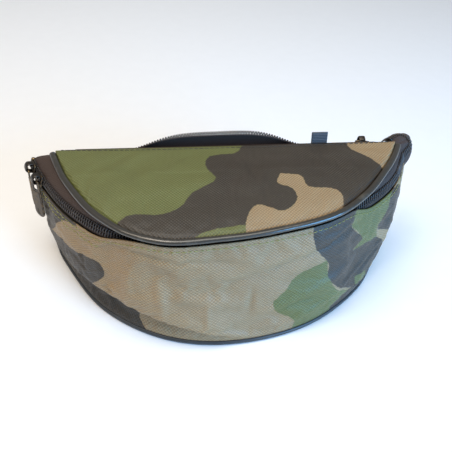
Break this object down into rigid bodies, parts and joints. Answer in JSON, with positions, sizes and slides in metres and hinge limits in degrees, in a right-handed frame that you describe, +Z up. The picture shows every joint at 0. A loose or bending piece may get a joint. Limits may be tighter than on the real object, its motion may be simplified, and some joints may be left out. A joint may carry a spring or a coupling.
{
  "type": "hand warmer muff",
  "caption": "Soft half-moon pouch standing on a flat base, with a padded back, a zipped rear pocket, belt loops and a lid that opens on a curved two-way zip.",
  "frame": {"origin": "on the ground under the middle of the base", "axes": "+X towards the pouch's right end seen from the front, +Y to its back, +Z up"},
  "size_m": [0.2902, 0.1234, 0.1105],
  "materials": {
    "canvas": "coated woven camouflage canvas",
    "lining": "brushed fleece",
    "board": "matte",
    "foam": "felted foam sheet",
    "piping": "satin vinyl",
    "binding": "woven tape",
    "zip_tape": "woven tape",
    "zip_coil": "satin nylon",
    "zip_metal": "dark bronze, worn at the edges",
    "webbing": "ribbed webbing"
  },
  "bodies": {
    "bag": {"bottom_panel": "canvas", "bottom_board": "board", "bottom_lining": "lining", "bottom_piping": "piping", "front_panel": "canvas", "front_lining": "lining", "base_binding": "binding", "back_panel": "canvas", "back_padding": "foam", "back_lining": "lining", "body_zip_coil": "zip_coil", "zip_end_left": "zip_coil", "zip_end_right": "zip_coil", "body_zip_tape": "zip_tape", "front_zip_stops": "zip_metal", "rear_zip_front_coil": "zip_coil", "rear_zip_back_coil": "zip_coil", "rear_zip_front_tape": "zip_tape", "rear_zip_back_tape": "zip_tape", "rear_zip_stops": "zip_metal", "rear_pocket_panel": "canvas", "belt_loop_left": "webbing", "belt_loop_right": "webbing", "hanger_tab": "webbing"},
    "lid": {"lid_panel": "canvas", "lid_lining": "lining", "lid_piping": "piping", "lid_binding": "binding", "lid_zip_coil": "zip_coil", "lid_zip_tape": "zip_tape"},
    "slider_a": {"slider_a_body": "zip_metal", "slider_a_crown": "zip_metal"},
    "slider_b": {"slider_b_body": "zip_metal", "slider_b_crown": "zip_metal"},
    "pull_a": {"pull_a": "zip_metal"},
    "pull_b": {"pull_b": "zip_metal"},
    "rear_slider": {"rear_slider_body": "zip_metal", "rear_slider_crown": "zip_metal"},
    "rear_pull": {"rear_pull": "zip_metal"}
  },
  "joints": [
    {"name": "lid_hinge", "type": "hinge", "parent": "bag", "child": "lid", "pos_m": [0, 0.05, 0.098], "axis": [-0.9981, 0, -0.061], "range_deg": [0, 100]},
    {"name": "slider_a_travel", "type": "hinge", "parent": "bag", "child": "slider_a", "pos_m": [-0.0034, 0.1116, 0.08798], "axis": [-0.061, -0.0523, 0.9968], "range_deg": [0, 1.1]},
    {"name": "slider_b_travel", "type": "hinge", "parent": "bag", "child": "slider_b", "pos_m": [-0.0034, 0.1116, 0.08798], "axis": [-0.061, -0.0523, 0.9968], "range_deg": [0, 123]},
    {"name": "pull_a_swing", "type": "hinge", "parent": "slider_a", "child": "pull_a", "pos_m": [-0.14599, 0.04678, 0.07598], "axis": [-0.2147, 0.9767, 0], "range_deg": [0, 110]},
    {"name": "pull_b_swing", "type": "hinge", "parent": "slider_b", "child": "pull_b", "pos_m": [-0.13895, 0.03315, 0.0757], "axis": [-0.6691, 0.7431, 0], "range_deg": [0, 110]},
    {"name": "rear_slider_travel", "type": "slide", "parent": "bag", "child": "rear_slider", "axis": [-0.9981, 0, -0.061], "range_m": [0, 0.204]},
    {"name": "rear_pull_swing", "type": "hinge", "parent": "rear_slider", "child": "rear_pull", "pos_m": [0.1043, 0.06454, 0.09624], "axis": [1, 0, 0], "range_deg": [0, 110]}
  ]
}
